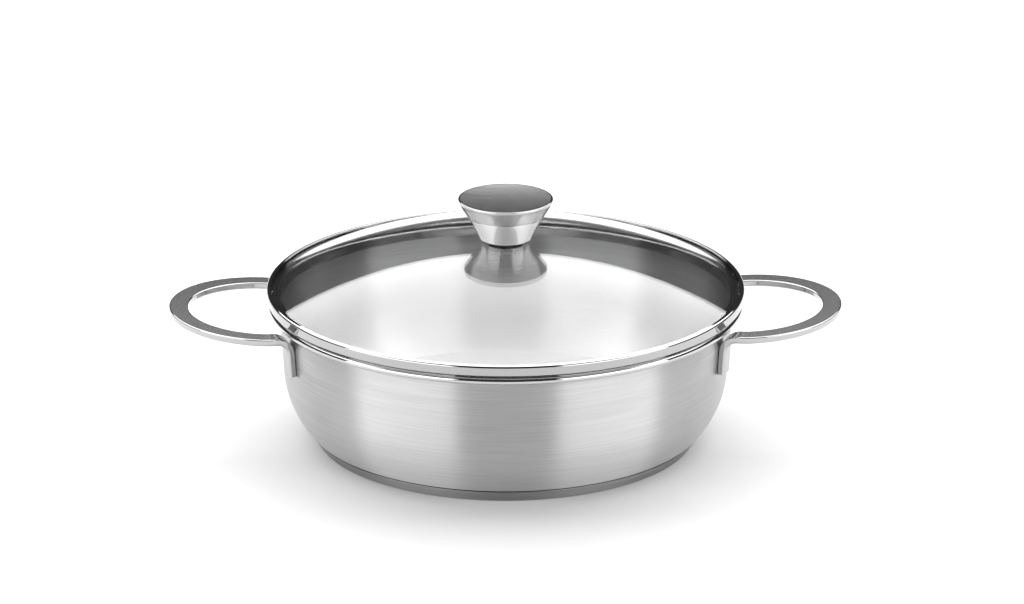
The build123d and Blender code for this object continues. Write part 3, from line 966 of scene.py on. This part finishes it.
# %% Bend both handles
for label, direction in (("left", -1), ("right", 1)):
    points, directions = whole_path(direction)
    chain = make_chain("handle_path_" + label, points, {"top": directions})
    mesh = run_tree(
        chain,
        bar_tree,
        {
            "Width": bar_width * MM,
            "Thickness": bar_thickness * MM,
            "Top round": bar_top_round * MM,
            "Under round": bar_under_round * MM,
            "Finish": handle_steel,
        },
    )
    for spare in ("across", "top", "heading"):
        mesh.attributes.remove(mesh.attributes[spare])
    finish_piece("ring_handle_" + label, mesh, "pot", "handle_steel", "handle_" + label)

# %% [markdown]
# ## The lid
#
# The pane is a shallow dome with a flat edge, 3.8 mm thick, with a hole for the knob's screw.
# It is a closed solid, because glass bends light where it enters and again where it leaves.
# The band is one strip rolled round the pane's edge. Its upper edge is a hem, folded double,
# and its lower leg turns down into a skirt that keeps the lid centred in the wall.

# %% Turn the glass pane
pane_hole_radius, pane_edge_round, hole_round = 4.5, 0.8, 0.3
under_sphere = dome_radius - glass_thickness
under_foot_radius = math.sqrt(under_sphere**2 - (pane_underside - dome_centre.y) ** 2)
pane_radius = band_radius - band_sheet - glass_gap
top_foot, edge_top = (dome_foot_radius, pane_top), (pane_radius, pane_top)
under_foot, edge_bottom = (under_foot_radius, pane_underside), (pane_radius, pane_underside)
top_hole = (pane_hole_radius, dome_height(pane_hole_radius, 0))
under_hole = (pane_hole_radius, dome_height(pane_hole_radius, -glass_thickness))
pane_section = draw_section(
    [
        bowed(under_hole, under_foot, dome_centre),
        *straights(under_foot, edge_bottom, edge_top, top_foot),
        bowed(top_foot, top_hole, dome_centre),
        straight(top_hole, under_hole),
    ],
    {
        0: foot_blend + glass_thickness,
        1: pane_edge_round,
        2: pane_edge_round,
        3: foot_blend,
        4: hole_round,
        5: hole_round,
    },
    closed=True,
)
turn_piece("glass_pane", pane_section, vessel_steps, lid_glass, "lid", "lid_glass", "lid_glass")

# %% Turn the rolled band
skirt_blend, bottom_round, top_round, hem_round = 0.6, 0.8, 1.2, 0.4
band_ring = [
    (skirt_radius - band_sheet, skirt_bottom),
    (skirt_radius, skirt_bottom),
    (skirt_radius, seat_height),
    (band_radius, seat_height),
    (band_radius, band_shoulder),
    (cover_radius, band_top),
    (cover_radius, pane_top),
    (band_radius - band_sheet, pane_top),
    (band_radius - band_sheet, pane_underside),
    (skirt_radius - band_sheet, pane_underside),
]
band_section = draw_section(
    straights(*band_ring, band_ring[0]),
    {
        0: cut_round,
        1: skirt_blend,
        2: bottom_round,
        3: top_round,
        4: hem_round,
        6: top_round - band_sheet,
        7: bottom_round - band_sheet,
        8: skirt_blend + band_sheet,
        9: cut_round,
    },
    closed=True,
)
turn_piece("rim_band", band_section, vessel_steps, band_steel, "lid", "band_steel", "lid_rim_band")

# %% [markdown]
# ## The knob
#
# The knob is two spun shells. The cone's skirt widens from the neck up to a seam, where the
# dish's edge is rolled over it. The dish itself is brushed. Under the neck a thin silicone
# seal keeps the steel off the glass, and shows as a fine dark line.

# %% Turn the dish and its rolled edge
flange_run, flange_drop, rim_depth, fold_inset = 4.4, 8.7, 1.5, 1.5
seam_round, bead_round, rim_round = 0.3, 1.2, 0.5
knob_seam = Vector((knob_rim_radius - flange_run, knob_top - flange_drop))
bead_foot = Vector((knob_rim_radius, knob_top - rim_depth))
bead_top = Vector((knob_rim_radius, knob_top))
flange_way = (bead_foot - knob_seam).normalized()
flange_in = Vector((-flange_way.y, flange_way.x))
dish_sphere = (dish_edge.x**2 + dish_depth**2) / (2 * dish_depth)
dish_centre = Vector((0, knob_top - dish_depth + dish_sphere))
fold_radius = dish_edge.x - knob_sheet
under_dish = math.sqrt((dish_sphere + knob_sheet) ** 2 - fold_radius**2)
fold = Vector((fold_radius, dish_centre.y - under_dish))
flange_top = bead_foot + flange_in * knob_sheet - flange_way * fold_inset
inner_seam = knob_seam + flange_in * knob_sheet
dish_bottom = Vector((0, knob_top - dish_depth))
dish_section = draw_section(
    [
        bowed(dish_bottom - Vector((0, knob_sheet)), fold, dish_centre),
        *straights(fold, flange_top, inner_seam, knob_seam, bead_foot, bead_top, dish_edge),
        bowed(dish_edge, dish_bottom, dish_centre),
    ],
    {2: seam_round / 2, 3: seam_round, 4: bead_round, 5: rim_round, 6: rim_round},
    closed=False,
)
turn_piece(
    "knob_dish_shell", dish_section, knob_steps, dish_steel, "lid", "dish_steel", "knob_dish"
)

# %% Turn the cone's skirt
seam_gap, nest_gap, nest_length, sag, cone_hole, neck_round = 0.2, 0.1, 4.6, 0.3, 6.7, 0.5
neck, skirt_top = Vector((knob_neck_radius, knob_base)), knob_seam - flange_way * seam_gap
rising = skirt_top - neck
lean = rising.normalized()
bow_radius = ((rising.length / 2) ** 2 + sag**2) / (2 * sag)
bow_centre = (neck + skirt_top) / 2 - Vector((-lean.y, lean.x)) * (bow_radius - sag)
nest_start = knob_seam + flange_in * (knob_sheet + nest_gap)
nest_end = nest_start + flange_way * nest_length
nest_back = nest_end + flange_in * knob_sheet
inner_neck = Vector((knob_neck_radius - knob_sheet, knob_base + knob_sheet))
hole_top, hole_bottom = Vector((cone_hole, inner_neck.y)), Vector((cone_hole, knob_base))
skirt_section = draw_section(
    [
        straight(hole_bottom, neck),
        bowed(neck, skirt_top, bow_centre),
        *straights(skirt_top, nest_start, nest_end, nest_back, inner_neck, hole_top, hole_bottom),
    ],
    {0: neck_round},
    closed=True,
)
turn_piece("knob_cone", skirt_section, knob_steps, skirt_steel, "lid", "skirt_steel", "knob_skirt")

# %% Turn the upper seal
seal_bore, seal_setback, seal_gap = 2.6, 0.6, 0.05
seal_radius = knob_neck_radius - seal_setback
inner_low = Vector((seal_bore, dome_height(seal_bore, seal_gap)))
outer_low = Vector((seal_radius, dome_height(seal_radius, seal_gap)))
inner_top, outer_top = Vector((seal_bore, knob_base)), Vector((seal_radius, knob_base))
seal_edges = straights(outer_low, outer_top, inner_top, inner_low)
seal_edges.insert(0, bowed(inner_low, outer_low, dome_centre))
seal_section = draw_section(seal_edges, {}, closed=True)
turn_piece(
    "upper_seal", seal_section, seal_steps, silicone, "lid", "seal_silicone", "knob_seal_upper"
)

# %% [markdown]
# ## The hidden pieces
#
# The heat spreader, the lower seal, the insert, the washer and the screw keep their CAD
# solids, whose shapes are right. They only need their finishes.

# %% Finish the CAD pieces that stay
for node, material in {
    # The heat spreader is coloured near black as painted shade for the groove above the cap.
    "base_core": aluminium,
    "knob_seal_lower": silicone,
    "knob_insert": machined_steel,
    "knob_washer": machined_steel,
    "knob_screw": machined_steel,
}.items():
    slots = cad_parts[node].data.materials
    if slots:
        for number in range(len(slots)):
            slots[number] = material
    else:
        slots.append(material)
    print(node, "is", material.name)

# %% [markdown]
# ## The studio
#
# The photograph is a white-ground packshot, and its reflections tell where the lights stood.
# The dome mirrors one broad light overhead, which starts just in front of the pan and reaches
# far behind it. The wall mirrors two low, wide panels in front, left and right, with a dark
# gap between them where the camera stands. Everything else is dark, which gives the steel its
# contrast.
#
# The floor is a plain white board. Rays from the camera, and those that a mirror or the glass
# sends on, also see it glow. Near the pan the glow only keeps the board white round the soft
# shadow. Far away, where no lamp reaches, it makes a light background in every view.

# %% The floor
board_reach, board_drop = 3.5, 0.0002
near_glow, far_glow, glow_start, glow_end = 0.12, 0.75, 0.5, 1.1


def make_floor_paint():
    material, tree, shader, where = new_material("Matt white board")
    fibre = add_node(tree, "ShaderNodeTexNoise", {"Vector": where, "Scale": 40.0, "Detail": 2.0})
    tints = {0: fibre, 6: colour("#D8D8D8"), 7: colour("#DCDCDC")}
    rays = add_node(tree, "ShaderNodeLightPath").outputs
    seen = rays["Is Camera Ray"]
    for kind in ("Is Glossy Ray", "Is Transmission Ray"):
        seen = add_node(tree, "ShaderNodeMath", {0: seen, 1: rays[kind]}, operation="MAXIMUM")
    away = add_node(tree, "ShaderNodeVectorMath", {0: where}, operation="LENGTH").outputs["Value"]
    glow = add_node(
        tree,
        "ShaderNodeMapRange",
        {
            "Value": away,
            "From Min": glow_start,
            "From Max": glow_end,
            "To Min": near_glow,
            "To Max": far_glow,
        },
        interpolation_type="SMOOTHSTEP",
    )
    board = {
        "Base Color": add_node(tree, "ShaderNodeMix", tints, data_type="RGBA"),
        "Roughness": 0.9,
        "Specular IOR Level": 0.1,
        "Emission Color": colour("#FFFFFF"),
        "Emission Strength": add_node(
            tree, "ShaderNodeMath", {0: seen, 1: glow}, operation="MULTIPLY"
        ),
    }
    set_sockets(tree, shader, board)
    return material


floor_mesh = bpy.data.meshes.new("floor")
corners = [(-1, -1), (1, -1), (1, 1), (-1, 1)]
floor_mesh.from_pydata(
    [(x * board_reach, y * board_reach, -board_drop) for x, y in corners], [], [(0, 1, 2, 3)]
)
floor_mesh.materials.append(make_floor_paint())
floor = bpy.data.objects.new("floor", floor_mesh)
bpy.context.scene.collection.objects.link(floor)
floor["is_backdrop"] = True
print("the board is", 2 * board_reach, "m wide")


# %% The lights
watts_of_white = 4


def add_panel(name, centre, aim, width, height, brightness):
    """A soft panel whose own brightness is given, where 1 is white and takes 4 W per square
    metre."""
    light = bpy.data.lights.new(name, "AREA")
    light.shape, light.size, light.size_y = "RECTANGLE", width, height
    light.energy = watts_of_white * width * height * brightness
    panel = bpy.data.objects.new(name, light)
    panel.location = centre
    panel.rotation_mode = "QUATERNION"
    panel.rotation_quaternion = (Vector(aim) - Vector(centre)).to_track_quat("-Z", "Y")
    panel.visible_camera = False
    bpy.context.scene.collection.objects.link(panel)
    print(f"{name}: {light.energy:.1f} W")


overhead, over_floor = (0, 0.64, 0.85), (0, 0.64, 0)
add_panel("overhead", overhead, over_floor, width=2.3, height=1.62, brightness=2.6)
for name, side in (("front left", -1), ("front right", 1)):
    place, aim = (side * 0.84, -0.68, 0.42), (0, 0, 0.3)
    add_panel(name, place, aim, width=1.1, height=0.68, brightness=2.3)

world = bpy.data.worlds.new("Dark studio")
world.use_nodes = True
backdrop = world.node_tree.nodes["Background"]
set_sockets(world.node_tree, backdrop, {"Color": colour("#565656"), "Strength": 0.5})
bpy.context.scene.world = world

# %% [markdown]
# ## The camera
#
# The pan was photographed from 2.5 m, about 20 degrees above the horizon, with a long lens.
# The numbers were fitted to the curves of the rim, the groove and the knob. The lens shift
# only puts the pan where the photograph's frame has it.

# %% Set up the camera
photo_width = 1024
focal_pixels, distance = 4827.2, 2.5
elevation, azimuth = math.radians(20.16), math.radians(-0.9)
target = Vector((0, 0, 0.040))
target_pixel, middle_pixel = (505.64, 358.78), (512, 302)
lens = bpy.data.cameras.new("camera")
lens.sensor_width = 36
lens.lens = focal_pixels / photo_width * lens.sensor_width
lens.shift_x = (middle_pixel[0] - target_pixel[0]) / photo_width
lens.shift_y = (target_pixel[1] - middle_pixel[1]) / photo_width
lens.clip_start, lens.clip_end = 0.05, 30
camera = bpy.data.objects.new("camera", lens)
level = Vector((math.sin(azimuth), -math.cos(azimuth), 0))
back = level * math.cos(elevation) + Vector((0, 0, math.sin(elevation)))
camera.location = target + back * distance
camera.rotation_mode = "QUATERNION"
camera.rotation_quaternion = (-back).to_track_quat("-Z", "Y")
bpy.context.scene.collection.objects.link(camera)
bpy.context.scene.camera = camera
bpy.context.scene.view_settings.view_transform = "Standard"
print(f"lens {lens.lens:.1f} mm, shift {lens.shift_x:.4f}, {lens.shift_y:.4f}")

# %% Check and finish
low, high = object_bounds()
print("dressed box", [round(v, 4) for v in (*low, *high)])
